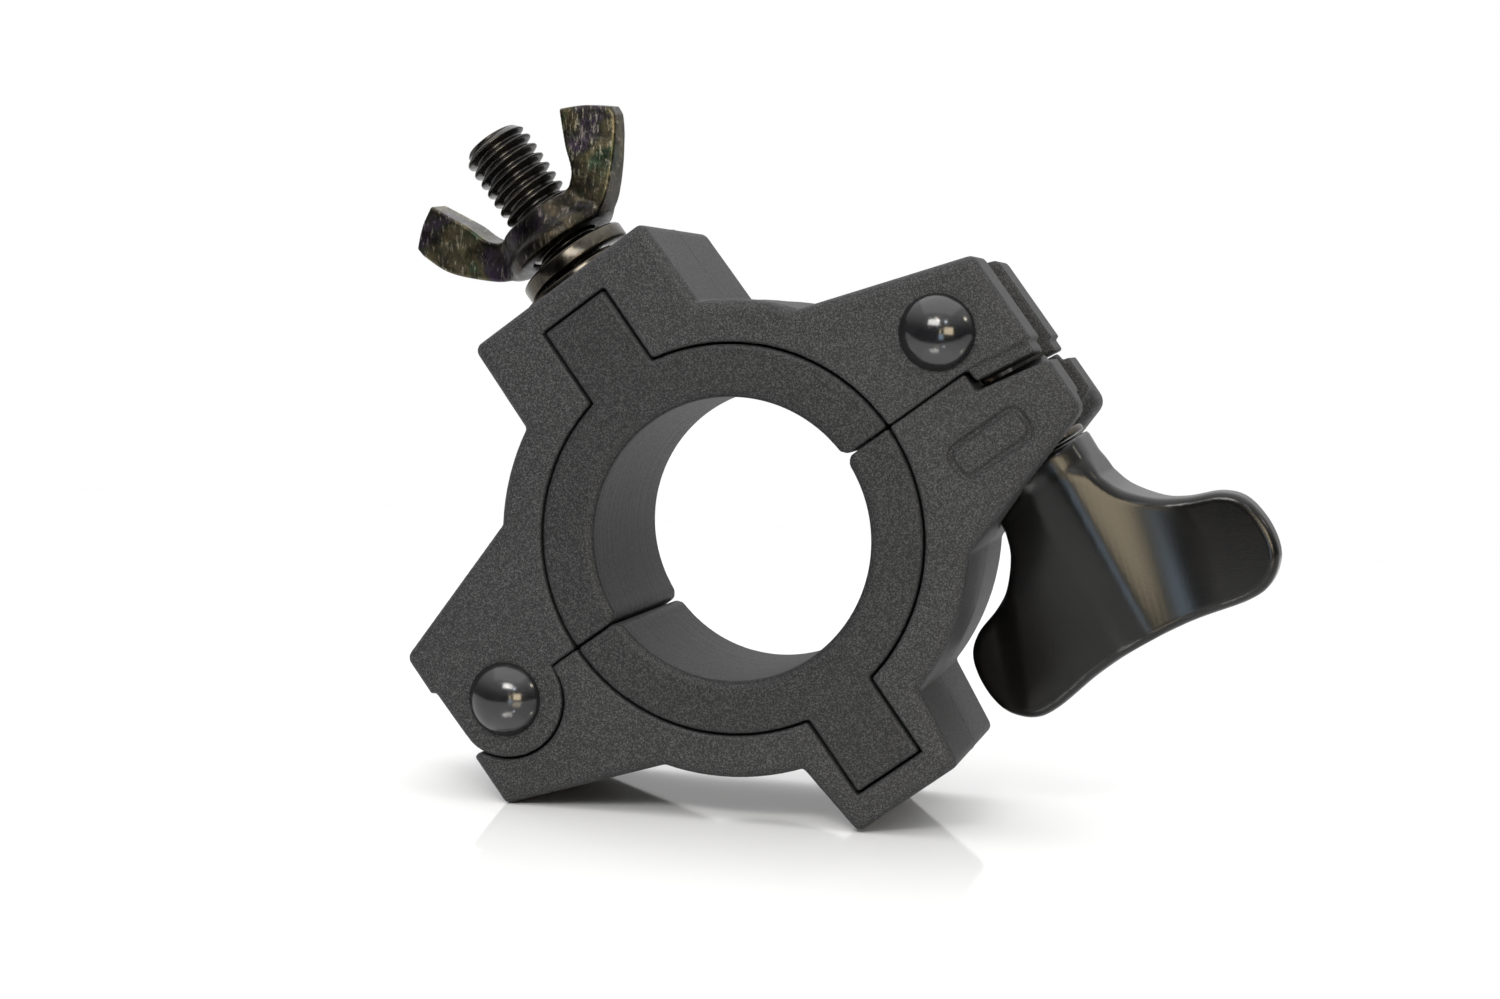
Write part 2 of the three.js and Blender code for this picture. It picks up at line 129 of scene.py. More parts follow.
SEAT = {"radius": 8.6, "along": 18.3}
RELIEF = {"radius": 18.35, "half": 8.8}
EYE = {"outer": 5.6, "hole": 3.3, "half": 4.6, "major": 7.8, "pitch": 1.25, "end": 35.4, "thread_low": 11.0}

STEP = 0.34


# ---------- frames ----------
def placed(origin, x_axis, z_axis):
    """The matrix that lays a drawing in millimetres into the row frame."""
    turn = Matrix((x_axis, z_axis.cross(x_axis), z_axis)).transposed().to_4x4()
    return Matrix.Translation(origin) @ turn @ Matrix.Scale(MM, 4)


bolt_axis = Vector(joints["nut_travel"]["axis"])
latch_axis = Vector(joints["handle_travel"]["axis"])
latch_place = Vector(joints["latch_swing"]["pos_m"])
CLAMP = placed(Vector(joints["nut_spin"]["pos_m"]), Vector((bolt_axis.z, 0, -bolt_axis.x)), bolt_axis)
ALONG_LATCH = placed(latch_place, Vector((-latch_axis.z, 0, latch_axis.x)), latch_axis)


def turned_about_z(matrix, degrees):
    return matrix @ Matrix.Rotation(math.radians(degrees), 4, "Z")


# ---------- outlines ----------
def arc(cx, cz, radius, start, end, step=3.0):
    count = max(1, round(abs(end - start) / step))
    angles = np.radians(np.linspace(start, end, count + 1))
    return [(cx + radius * math.cos(a), cz + radius * math.sin(a)) for a in angles]


def outline(corners):
    """A closed outline. A corner given as (x, z, r) is rounded to the radius r."""
    points = []
    for i, corner in enumerate(corners):
        here = np.array(corner[:2], float)
        if len(corner) == 2:
            points.append(here)
            continue
        before = np.array(corners[i - 1][:2], float) - here
        after = np.array(corners[(i + 1) % len(corners)][:2], float) - here
        before /= np.linalg.norm(before)
        after /= np.linalg.norm(after)
        half = math.acos(np.clip(before @ after, -1, 1)) / 2
        middle = before + after
        centre = here + middle / np.linalg.norm(middle) * corner[2] / math.sin(half)
        first = here + before * corner[2] / math.tan(half) - centre
        last = here + after * corner[2] / math.tan(half) - centre
        start = math.atan2(first[1], first[0])
        sweep = (math.atan2(last[1], last[0]) - start + math.pi) % (2 * math.pi) - math.pi
        for share in np.linspace(0, 1, 7):
            angle = start + sweep * share
            points.append(centre + corner[2] * np.array((math.cos(angle), math.sin(angle))))
    return points


def smooth_through(points, per_span=8):
    """A Catmull-Rom curve through the points, open at both ends."""
    held = np.array([points[0], *points, points[-1]], float)
    curve = []
    for a, b, c, d in zip(held, held[1:], held[2:], held[3:]):
        for t in np.arange(per_span) / per_span:
            curve.append(0.5 * (2 * b + (c - a) * t + (2 * a - 5 * b + 4 * c - d) * t**2
                                + (3 * b - a - 3 * c + d) * t**3))
    return [*curve, held[-1]]


# ---------- signed distances ----------
def meet(a, b, radius=0.0):
    """Where both solids are, with the edge between them rounded."""
    if not radius:
        return np.maximum(a, b)
    a, b = a + radius, b + radius
    return np.minimum(np.maximum(a, b), 0) + np.hypot(np.maximum(a, 0), np.maximum(b, 0)) - radius


def join(a, b, radius=0.0):
    """Where either solid is, with a fillet where they meet."""
    return -meet(-a, -b, radius)


def cut(a, b, radius=0.0):
    return meet(a, -b, radius)


def blend_in(a, b, reach):
    """Where either solid is, with a wide soft blend where they meet."""
    share = np.clip(0.5 + 0.5 * (b - a) / reach, 0, 1)
    return b + (a - b) * share - reach * share * (1 - share)


class Grid:
    """Sample planes across a box; extra planes gather where the shape changes along y."""

    def __init__(self, x, z, y_planes, step=STEP):
        self.axes = [self.even(*x, step), self.gathered(y_planes, step), self.even(*z, step)]
        self.x = self.axes[0][:, None, None]
        self.y = self.axes[1][None, :, None]
        self.z = self.axes[2][None, None, :]

    @staticmethod
    def even(low, high, step):
        count = math.ceil((high - low) / step)
        return low + step * (np.arange(count + 1) + 0.137)

    @staticmethod
    def gathered(planes, step, coarse=5.0, reach=1.5):
        """Planes every step within reach of the listed ones, and coarse ones between."""
        low, high = min(planes) - 4 * step, max(planes) + 4 * step
        fine = [p for p in np.arange(low, high, step) if min(abs(p - q) for q in planes) < reach + step]
        filled = [fine[0]]
        for p in fine[1:]:
            gap = p - filled[-1]
            pieces = 1 if gap < 1.5 * step else math.ceil(gap / coarse)
            filled += [filled[-1] + gap * (i + 1) / pieces for i in range(pieces)]
        return np.array(filled)

    def flat(self, points):
        """Signed distance from a closed outline in x and z."""
        points = np.asarray(points, float)
        best = np.full((self.x.size, 1, self.z.size), np.inf)
        outside = np.ones(best.shape, bool)
        for (ax, az), (bx, bz) in zip(points, np.roll(points, -1, 0)):
            ex, ez, wx, wz = bx - ax, bz - az, self.x - ax, self.z - az
            t = np.clip((wx * ex + wz * ez) / (ex * ex + ez * ez), 0, 1)
            best = np.minimum(best, (wx - ex * t) ** 2 + (wz - ez * t) ** 2)
            above, below, left = self.z >= az, self.z < bz, ex * wz > ez * wx
            outside ^= (above & below & left) | ~(above | below | left)
        return np.where(outside, 1, -1) * np.sqrt(best)

    def between(self, low, high):
        return np.abs(self.y - (low + high) / 2) - (high - low) / 2

    def slab(self, flat, low, high, radius=0.0):
        return meet(flat + 0 * self.y, self.between(low, high), radius)

    def bar(self, x, z, radius):
        """A round bar along y."""
        return np.hypot(self.x - x, self.z - z) - radius

    def block(self, x, y, z, radius=0.0):
        sides = [np.abs(v - (low + high) / 2) - (high - low) / 2
                 for v, (low, high) in ((self.x, x), (self.y, y), (self.z, z))]
        return meet(meet(sides[0], sides[2], radius), sides[1], radius)


# ---------- meshes ----------
CORNERS = np.array([(i, j, k) for i in (0, 1) for j in (0, 1) for k in (0, 1)])
CELL_EDGES = [(a, b) for a in range(8) for b in range(a + 1, 8) if abs(CORNERS[a] - CORNERS[b]).sum() == 1]


def net(field, axes):
    """Points and quads on the surface where the sampled field is zero: one point to a cell."""
    inside = field < 0
    size = np.array(field.shape) - 1
    count = sum(inside[i:i + size[0], j:j + size[1], k:k + size[2]].astype(np.int8) for i, j, k in CORNERS)
    cells = np.argwhere((count > 0) & (count < 8))
    index = np.full(size, -1)
    index[tuple(cells.T)] = np.arange(len(cells))
    nodes = cells[:, None, :] + CORNERS
    value = field[nodes[..., 0], nodes[..., 1], nodes[..., 2]]
    place = np.stack([axes[a][nodes[..., a]] for a in range(3)], -1)
    total, hits = np.zeros((len(cells), 3)), np.zeros((len(cells), 1))
    for a, b in CELL_EDGES:
        crossed = (value[:, a] < 0) != (value[:, b] < 0)
        share = np.where(crossed, value[:, a] / np.where(crossed, value[:, a] - value[:, b], 1), 0)
        step = place[:, a] + share[:, None] * (place[:, b] - place[:, a])
        total += crossed[:, None] * step
        hits += crossed[:, None]
    quads = []
    for a in range(3):
        b, c = (a + 1) % 3, (a + 2) % 3
        near = np.moveaxis(inside, a, 0)[:-1]
        far = np.moveaxis(inside, a, 0)[1:]
        spots = np.argwhere(np.moveaxis(near != far, 0, a))
        start = inside[tuple(spots.T)]
        ring = []
        for back_b, back_c in ((1, 1), (0, 1), (0, 0), (1, 0)):
            cell = spots.copy()
            cell[:, b] -= back_b
            cell[:, c] -= back_c
            ring.append(index[tuple(cell.T)])
        quad = np.stack(ring, 1)
        quad[~start] = quad[~start][:, ::-1]
        quads.append(quad)
    return total / hits, np.concatenate(quads)


def make_mesh(name, points, faces, matrix, smooth=True):
    mesh = bpy.data.meshes.new(name)
    mesh.from_pydata(np.asarray(points, float).tolist(), [], [list(map(int, f)) for f in faces])
    mesh.transform(matrix)
    mesh.polygons.foreach_set("use_smooth", [smooth] * len(mesh.polygons))
    piece = bpy.data.objects.new(name, mesh)
    bpy.context.scene.collection.objects.link(piece)
    return piece


def tidy_flats(piece):
    """Joins the faces of each flat area into one, and lets the large faces set the normals."""
    work = bmesh.new()
    work.from_mesh(piece.data)
    bmesh.ops.dissolve_limit(work, angle_limit=math.radians(0.08), verts=work.verts, edges=work.edges)
    work.to_mesh(piece.data)
    work.free()
    piece.data.polygons.foreach_set("use_smooth", [True] * len(piece.data.polygons))
    normals = piece.modifiers.new("normals", "WEIGHTED_NORMAL")
    normals.keep_sharp = False
    return piece


def solid(name, field, grid, matrix):
    points, quads = net(field, grid.axes)
    return tidy_flats(make_mesh(name, points, quads, matrix))


def lattice(name, rings, matrix):
    """A skin over rings of points, closed at both ends; each ring has the same count of points."""
    rings = np.asarray(rings, float)
    count, around = rings.shape[:2]
    points = rings.reshape(-1, 3).tolist()
    faces = []
    for i in range(count - 1):
        for j in range(around):
            k = (j + 1) % around
            faces.append((i * around + j, i * around + k, (i + 1) * around + k, (i + 1) * around + j))
    for ring, order in ((0, -1), (count - 1, 1)):
        points.append(rings[ring].mean(0).tolist())
        base = ring * around
        for j in range(around):
            pair = (base + j, base + (j + 1) % around)[::order]
            faces.append((*pair, len(points) - 1))
    return make_mesh(name, points, faces, matrix)


def turned_rings(profile, around=96):
    """Rings about z for a profile of (radius, height)."""
    angles = np.linspace(0, 2 * math.pi, around, endpoint=False)
    return [[(r * math.cos(a), r * math.sin(a), h) for a in angles] for r, h in profile]


def rounded_section(inner, outer, low, high, radius, steps=4):
    """A closed section of (radius, height), its corners rounded."""
    points = []
    for cx, cz, start in ((outer - radius, high - radius, 0), (inner + radius, high - radius, 90),
                          (inner + radius, low + radius, 180), (outer - radius, low + radius, 270)):
        points += arc(cx, cz, radius, start, start + 90, 90 / steps)
    return points


def ring_of(name, section, matrix, around=96):
    """A closed ring swept about z from a closed section of (radius, height)."""
    angles = np.linspace(0, 2 * math.pi, around, endpoint=False)
    rings = np.array([[(r * math.cos(a), r * math.sin(a), h) for r, h in section] for a in angles])
    count, across = rings.shape[:2]
    faces = []
    for i in range(count):
        for j in range(across):
            n, k = (i + 1) % count, (j + 1) % across
            faces.append((i * across + j, n * across + j, n * across + k, i * across + k))
    return make_mesh(name, rings.reshape(-1, 3), faces, matrix)


# ---------- jaws ----------
CUT_EDGE = 0.2
SEAM = 0.09
SEAM_EDGE = 0.1
MOULD_EDGE = 1.3
MOULD_LINE = {"rise": 0.06, "half": 0.25}
RIM_DEPTH = HALF_DEPTH - 1.0
JAW_PLANES = (-HALF_DEPTH, -RIM_DEPTH, -LATCH["slot"], 0.0, LATCH["slot"], RIM_DEPTH, HALF_DEPTH)


def boss_root(base):
    return math.degrees(math.acos(base / RING_OUTER))


def upper_outline():
    root = boss_root(UPPER_BOSS["base"])
    return outline([
        (46.7, -12.0),
        (46.7, 11.6, 1.0),
        *arc(0, 0, RING_OUTER, EAR_ROOT_DEG, root),
        (UPPER_BOSS["half"], UPPER_BOSS["end"], 1.2),
        (-UPPER_BOSS["half"], UPPER_BOSS["end"], 1.2),
        *arc(0, 0, RING_OUTER, 180 - root, 180 - EAR_ROOT_DEG),
        (-46.1, 12.3, 1.3),
        (-46.1, 6.6),
        (-46.3, 6.3),
        (-45.5, 6.1),
        (-45.3, 0.0),
        (-45.3, -12.0),
    ])


def lower_outline():
    root = boss_root(LOWER_BOSS["base"])
    return outline([
        (47.1, 12.0),
        (-46.0, 12.0),
        (-45.9, -11.4, 0.7),
        *arc(0, 0, RING_OUTER, 180 + EAR_ROOT_DEG, 180 + root),
        (-LOWER_BOSS["half"], -LOWER_BOSS["end"], 1.0),
        (LOWER_BOSS["half"], -LOWER_BOSS["end"], 1.0),
        *arc(0, 0, RING_OUTER, 360 - root, 360 - EAR_ROOT_DEG),
        (46.9, -12.2, 2.0),
    ])


def moulded(grid, points):
    """A jaw's block, with rounded rims and the fine raised line where the mould halves meet."""
    flat = grid.flat(points)
    body = grid.slab(flat, -HALF_DEPTH, HALF_DEPTH, MOULD_EDGE)
    return join(body, grid.slab(flat - MOULD_LINE["rise"], -MOULD_LINE["half"], MOULD_LINE["half"]), 0.05)


def upper_jaw():
    grid = Grid((-48, 49), (-9.5, 42), JAW_PLANES)
    x, y, z = grid.x, grid.y, grid.z
    seam = SEAM - z - SEAM_FALL["slope"] * np.maximum(x - SEAM_FALL["start"], 0)
    kept = np.minimum(seam, grid.bar(HINGE["x"], HINGE["z"], HINGE["knuckle"])) + 0 * y
    body = meet(moulded(grid, upper_outline()), kept, SEAM_EDGE)
    tongue = grid.flat(outline([
        (TONGUE["inner"], TONGUE["top"]),
        (TONGUE["outer"], TONGUE["top"]),
        (TONGUE["outer"], TONGUE["low_outer"], TONGUE["corner"]),
        (TONGUE["start"], TONGUE["low_inner"], TONGUE["corner"]),
    ]))
    reach = HALF_DEPTH - TONGUE["set_back"]
    body = np.minimum(body, grid.slab(tongue, -reach, reach, TONGUE["edge"]))
    tab_room = grid.block((-TAB["half"] - GAP, TAB["half"] + GAP), (-FAR, FAR), (10, TAB["end"] + GAP))
    body = cut(body, grid.bar(0, 0, RING_INNER), CUT_EDGE)
    body = cut(body, tab_room, CUT_EDGE)
    pocket = BOLT["flats"] / 2 + GAP
    across_flats = [np.abs(x * math.cos(a) + y * math.sin(a)) for a in np.radians((0, 60, 120))]
    body = cut(body, meet(np.max(across_flats, 0) - pocket, z - BOLT["high"] - GAP))
    body = cut(body, np.hypot(x, y) - BOLT["major"] / 2 - GAP, CUT_EDGE)
    hinge_room = grid.between(-HINGE["tongue"] - GAP, HINGE["tongue"] + GAP)
    behind = meet(x - HINGE["x"], z - HINGE["knuckle"] - GAP)
    opening = np.minimum(grid.bar(HINGE["x"], HINGE["z"], HINGE["knuckle"] + GAP), behind)
    body = cut(body, meet(opening, hinge_room), CUT_EDGE)
    body = cut(body, grid.bar(HINGE["x"], HINGE["z"], HINGE["pin"] + GAP))
    ceiling = grid.flat(SLOT_CEILING)
    slot = grid.between(-LATCH["slot"], LATCH["slot"])
    body = cut(body, meet(ceiling, slot), CUT_EDGE)
    body = cut(body, meet(BACK_SHORT - x, slot), CUT_EDGE)
    body = cut(body, grid.bar(LATCH["x"], LATCH["z"], LATCH["pin"] + GAP))
    return solid("upper_jaw_shell", body, grid, CLAMP)


def latch_coordinates(grid):
    """Height along the tilted eye bolt and distance from its axis."""
    tilt = math.radians(LATCH["tilt"])
    across, up = grid.x - LATCH["x"], grid.z - LATCH["z"]
    along = -(across * math.sin(tilt) + up * math.cos(tilt))
    side = across * math.cos(tilt) - up * math.sin(tilt)
    return along, side


def blank_pad(grid):
    """The line around a plain pad on the front of the lower latch ear."""
    pad = grid.flat(outline([
        (PAD["left"], PAD["top"], PAD["corner"]),
        (PAD["right"], PAD["top"], PAD["corner"]),
        (PAD["right"], PAD["bottom"], PAD["corner"]),
        (PAD["left"], PAD["bottom"], PAD["corner"]),
    ]))
    return meet(np.abs(pad) - PAD["line"], grid.y + HALF_DEPTH - PAD["depth"])


def lower_jaw():
    grid = Grid((-48, 49), (-42.5, 9.5), JAW_PLANES)
    x, y, z = grid.x, grid.y, grid.z
    body = meet(moulded(grid, lower_outline()), z + SEAM, SEAM_EDGE)
    body = cut(body, meet(x - HINGE["x"], HINGE_DROP - z), CUT_EDGE)
    clearance = GAP * np.clip(-z / HINGE_FADE, 0.1, 1.0)
    leaves = meet(grid.bar(HINGE["x"], HINGE["z"], HINGE["knuckle"]) - clearance,
                  -grid.between(-HINGE["tongue"], HINGE["tongue"]))
    body = cut(body, leaves, CUT_EDGE)
    tongue = meet(grid.bar(HINGE["x"], HINGE["z"], HINGE["knuckle"]),
                  grid.between(-HINGE["tongue"], HINGE["tongue"]), 0.3)
    body = np.minimum(body, tongue)
    shelf = -SHELF["depth"] - SHELF["slope"] * (x - SHELF["start"]) - z
    body = cut(body, meet(SHELF["start"] - x, shelf, SHELF["edge"]), CUT_EDGE)
    body = cut(body, blank_pad(grid), 0.1)
    body = cut(body, grid.bar(0, 0, RING_INNER), CUT_EDGE)
    tab_room = grid.block((-TAB["half"] - GAP, TAB["half"] + GAP), (-FAR, FAR), (-TAB["end"] - GAP, -10))
    body = cut(body, tab_room, CUT_EDGE)
    body = cut(body, grid.bar(HINGE["x"], HINGE["z"], HINGE["pin"] + GAP))
    slot = grid.between(-LATCH["slot"], LATCH["slot"])
    body = cut(body, meet(SLOT_START - x, slot), CUT_EDGE)
    lip_top = z + LIP["depth"] + LIP["slope"] * (x - LIP["from"])
    lip = meet(meet(LIP["start"] - x, x - LIP["end"]), meet(lip_top, LIP["bottom"] - z))
    half_width = LIP["width"] / 2
    lip = meet(lip, np.abs(np.abs(y) - LATCH["slot"] - half_width) - half_width, 0.2)
    body = np.minimum(body, lip)
    along, side = latch_coordinates(grid)
    seat = meet(np.hypot(side, y) - SEAT["radius"], SEAT["along"] - along)
    body = cut(body, seat, CUT_EDGE)
    beside = np.maximum(grid.between(-RELIEF["half"], RELIEF["half"]), -side)
    relief = meet(RELIEF["radius"] - np.hypot(side, along), beside)
    body = cut(body, relief, CUT_EDGE)
    return solid("lower_jaw_shell", body, grid, CLAMP)


# ---------- inserts ----------
def insert(name, side):
    """Half of the reducing sleeve; side is 1 above the split and -1 below it."""
    low, high = sorted((side * -1.0, side * 38.0))
    planes = (-HALF_DEPTH, -HALF_DEPTH + 1.5, -8.0, 8.0, RIM_DEPTH, HALF_DEPTH)
    grid = Grid((-27, 27), (low, high), planes)
    x, y, z = grid.x, grid.y, grid.z * side
    depth = grid.between(-HALF_DEPTH, HALF_DEPTH)
    body = grid.bar(0, 0, INSERT_OUTER) + 0 * y
    tabs = meet(np.abs(x) - TAB["half"], z - TAB["end"])
    tabs = meet(tabs, meet(TAB["start"] - z, HALF_DEPTH - TAB["length"] - np.abs(y)))
    body = meet(np.minimum(body, tabs), depth, 0.35)
    radius = BORE_FRONT + (BORE_BACK - BORE_FRONT) * (y + HALF_DEPTH) / (2 * HALF_DEPTH)
    reach = np.hypot(x, z)
    body = cut(body, reach - radius, 0.25)
    rim = (reach - radius - BORE_CHAMFER + (HALF_DEPTH - np.abs(y))) / math.sqrt(2)
    body = cut(body, rim, 0.2)
    body = meet(body, SPLIT - z, 0.2)
    corner = (np.abs(np.abs(x) - radius) + z - SPLIT - SPLIT_CHAMFER) / math.sqrt(2)
    body = cut(body, corner, 0.2)
    return solid(name, body, grid, CLAMP)


# ---------- pins ----------
def dome_profile():
    """From the rim of a pin's head to its crown, standing on the jaw's face."""
    base = HALF_DEPTH + 0.02
    brim, radius = DOME["brim"], DOME["radius"]
    rise = DOME["height"] + GAP - brim
    sphere = (radius**2 + rise**2) / (2 * rise)
    half = math.asin(radius / sphere)
    crown = base + brim + rise - sphere
    angles = np.linspace(half, 0.02, 14)
    rim = [(radius - 0.25, base), (radius - 0.06, base + 0.06), (radius, base + brim * 0.5)]
    return rim + [(sphere * math.sin(a), crown + sphere * math.cos(a)) for a in angles]


def pin(name, place, cap):
    """A domed pin along y, with its head in front, or the domed cap on its far end."""
    head = dome_profile()
    if cap:
        hole = place["pin"] + GAP
        profile = [(hole, HALF_DEPTH + CAP_DEEP), (hole, head[0][1]), *head]
        facing = Matrix.Rotation(math.radians(-90), 4, "X")
    else:
        end = -HALF_DEPTH - PIN_SHORT
        profile = [(place["pin"] - 0.3, end), (place["pin"], end + 0.3), (place["pin"], head[0][1]), *head]
        facing = Matrix.Rotation(math.radians(90), 4, "X")
    matrix = CLAMP @ Matrix.Translation((place["x"], 0, place["z"])) @ facing
    return lattice(name, turned_rings(profile), matrix)


# ---------- yoke bolt, washers and wing nut ----------
def thread_radius(height, angle, major, pitch):
    """A rounded V thread, right-handed about z."""
    depth = THREAD["depth"] * pitch
    phase = (height / pitch - angle / (2 * math.pi)) % 1.0
    slope = np.clip((np.abs(phase - 0.5) * 2 - THREAD["crest"]) / THREAD["flank"], 0, 1)
    eased = depth * slope * slope * (3 - 2 * slope)
    return major / 2 - eased * THREAD["round"] - depth * slope * THREAD["straight"]


def yoke_bolt():
    around = 120
    angles = np.linspace(0, 2 * math.pi, around, endpoint=False)
    per_turn = 16
    heights = [BOLT["low"], BOLT["low"] + BOLT["head_chamfer"], BOLT["high"] - 0.5, BOLT["high"] - 0.01,
               BOLT["high"], 38.0]
    heights += list(np.arange(BOLT["thread_low"], BOLT["tip"] - 0.02, BOLT["pitch"] / per_turn))
    heights.append(BOLT["tip"])
    across = np.abs((np.degrees(angles) % 60) - 30)
    hexagon = BOLT["flats"] / 2 / np.cos(np.radians(30 - across))
    rings = []
    for height in heights:
        if height < BOLT["high"]:
            at_end = height in (BOLT["low"], BOLT["high"] - 0.01)
            radius = hexagon - (BOLT["head_chamfer"] if at_end else 0.0)
        else:
            radius = thread_radius(height, angles, BOLT["major"], BOLT["pitch"])
            radius = np.minimum(radius, BOLT["tip_radius"] + (BOLT["tip"] - height) * BOLT["tip_slope"])
        rings.append(np.stack([radius * np.cos(angles), radius * np.sin(angles), np.full(around, height)], 1))
    return lattice("yoke_bolt_threaded", rings, CLAMP)


def lock_washer():
    section = np.array(rounded_section(LOCK_WASHER["inner"], LOCK_WASHER["outer"], LOCK_WASHER["low"],
                                       LOCK_WASHER["low"] + LOCK_WASHER["thick"], 0.45))
    steps = 100
    rings = []
    for turn in np.linspace(0, 1, steps + 1):
        angle = math.radians(90 + LOCK_WASHER["cut"] / 2 + (360 - LOCK_WASHER["cut"]) * turn)
        rise = LOCK_WASHER["rise"] * turn
        rings.append([(r * math.cos(angle), r * math.sin(angle), h + rise) for r, h in section])
    return lattice("lock_washer_coil", np.array(rings)[:, ::-1], CLAMP)


def washer(name, size, matrix):
    section = rounded_section(size["inner"], size["outer"], size["low"], size["high"], 0.25)
    return ring_of(name, section, matrix)


def wing_outline(side):
    """A wing in x and z, on the right for side 1: a swept fin with a bluntly cut tip."""
    low, high = WING_TIPS[side]
    outer = smooth_through([(4.5, 47.4), (8.6, 47.7), (12.4, 50.6), (15.9, 54.4),
                            (low[0] - 0.1, low[1] - 1.2)])
    middle = ((low[0] + high[0]) / 2 + 0.1, (low[1] + high[1]) / 2 + 0.35)
    tip = smooth_through([low, middle, high])
    inner = smooth_through([(high[0] - 0.6, high[1] - 1.2), (9.3, 57.4), (7.8, 53.8), (4.5, 51.2)])
    return [(side * x, z) for x, z in (*outer, *tip, *inner)]


def wing_nut():
    grid = Grid((-20, 20), (45.5, 64), np.arange(-8.5, 8.6, 1.0), STEP * 0.72)
    x, y, z = grid.x, grid.y, grid.z
    reach = np.hypot(x, y)
    hub = meet(reach - NUT["neck"] - 0.15 * (NUT["high"] - z), z - NUT["high"], 0.5)
    hub = meet(hub, NUT["low"] - z, 0.3)
    flange_top = z - NUT["low"] - NUT["flange"] + 0.4 * (reach - NUT["neck"])
    flange = meet(meet(reach - NUT["base"], NUT["low"] - z, 0.4), flange_top, 0.8)
    hub = blend_in(hub, flange, 0.5)
    fins = np.minimum(grid.flat(wing_outline(1)), grid.flat(wing_outline(-1)))
    along = np.clip((np.abs(x) - NUT["neck"]) / NUT["wing"], 0, 1)
    thick = NUT["root_half"] + (NUT["tip_half"] - NUT["root_half"]) * along
    wings = meet(fins + 0 * y, np.abs(y) - thick, 0.35)
    body = blend_in(hub, wings, 1.0)
    body = meet(body, NUT["low"] - z, 0.2)
    body = cut(body, reach - NUT["bore"], 0.5)
    return solid("wing_nut_forged", body, grid, turned_about_z(CLAMP, NUT["turn"]))


# ---------- latch ----------
def eye_bolt():
    step = STEP * 0.6
    grid = Grid((-7, 7), (-7, EYE["end"] + 1), np.arange(-6.0, 6.1, 1.0), step)
    x, y, z = grid.x, grid.y, grid.z
    eye = meet(grid.bar(0, 0, EYE["outer"]), grid.between(-EYE["half"], EYE["half"]), 0.6)
    angle = np.arctan2(y, x)
    radius = thread_radius(z, angle, EYE["major"], EYE["pitch"])
    radius = np.where(z < EYE["thread_low"], EYE["major"] / 2 - 0.1, radius)
    stem = meet(meet(np.hypot(x, y) - radius, z - EYE["end"], 0.5), 1.0 - z)
    body = blend_in(eye, stem, 1.2)
    body = cut(body, grid.bar(0, 0, EYE["hole"]), 0.4)
    return solid("eye_bolt_threaded", body, grid, ALONG_LATCH)


def handle_outline():
    half = [(7.4, 26.0), (8.6, 28.9), (11.4, 32.0), (15.0, 34.1), (19.2, 35.7), (21.6, 38.2), (22.3, 42.6),
            (21.3, 46.6), (18.4, 49.1), (14.6, 49.5), (7.0, 48.2)]
    mirrored = [(-px, pz) for px, pz in reversed(half)]
    lobes = smooth_through([*half, (0.0, HANDLE["bottom"]), *mirrored])
    return [(-7.4, HANDLE["top"]), (7.4, HANDLE["top"]), *lobes]


def handle():
    """A cast handle: two flat lobes that sweep up into a ridge, its crest set aside on either face."""
    grid = Grid((-24, 24), (18.5, 51), np.arange(-8.5, 8.6, 1.0), STEP * 0.9)
    x, y, z = grid.x, grid.y, grid.z
    flat = grid.flat(handle_outline())
    down = np.clip((z - HANDLE["top"]) / (HANDLE["bottom"] - HANDLE["top"]), 0, 1)
    crest = HANDLE["crest_top"] + (HANDLE["crest_bottom"] - HANDLE["crest_top"]) * down
    aside = HANDLE["aside_top"] + (HANDLE["aside_bottom"] - HANDLE["aside_top"]) * down
    across = x * np.where(y < 0, -1, 1) - aside
    falls = ((0.0, HANDLE["steep"]), (0.0, HANDLE["band_slope"]),
             ((HANDLE["band_slope"] + HANDLE["gentle"]) * HANDLE["band"], -HANDLE["gentle"]))
    steep, band, gentle = [(np.abs(y) - crest - extra + fall * across) / math.hypot(1, fall)
                           for extra, fall in falls]
    ridge = meet(meet(steep, band, 0.5), gentle, 1.5)
    around_neck = np.hypot(x, y) - HANDLE["neck"] - HANDLE["neck_flare"] * np.maximum(z - HANDLE["collar"], 0)
    ridge = meet(ridge, around_neck, 1.6)
    body = meet(blend_in(np.abs(y) - HANDLE["plate"], ridge, 2.4), flat + 0 * y, 1.1)
    collar = meet(np.hypot(x, y) - HANDLE["collar_radius"], z - HANDLE["collar"], 1.5)
    body = meet(blend_in(body, collar, 1.0), HANDLE["top"] - z, 0.4)
    body = cut(body, meet(np.hypot(x, y) - HANDLE["bore"], z - HANDLE["bore_end"]), 0.3)
    return solid("handle_cast", body, grid, turned_about_z(ALONG_LATCH, HANDLE["turn"]))


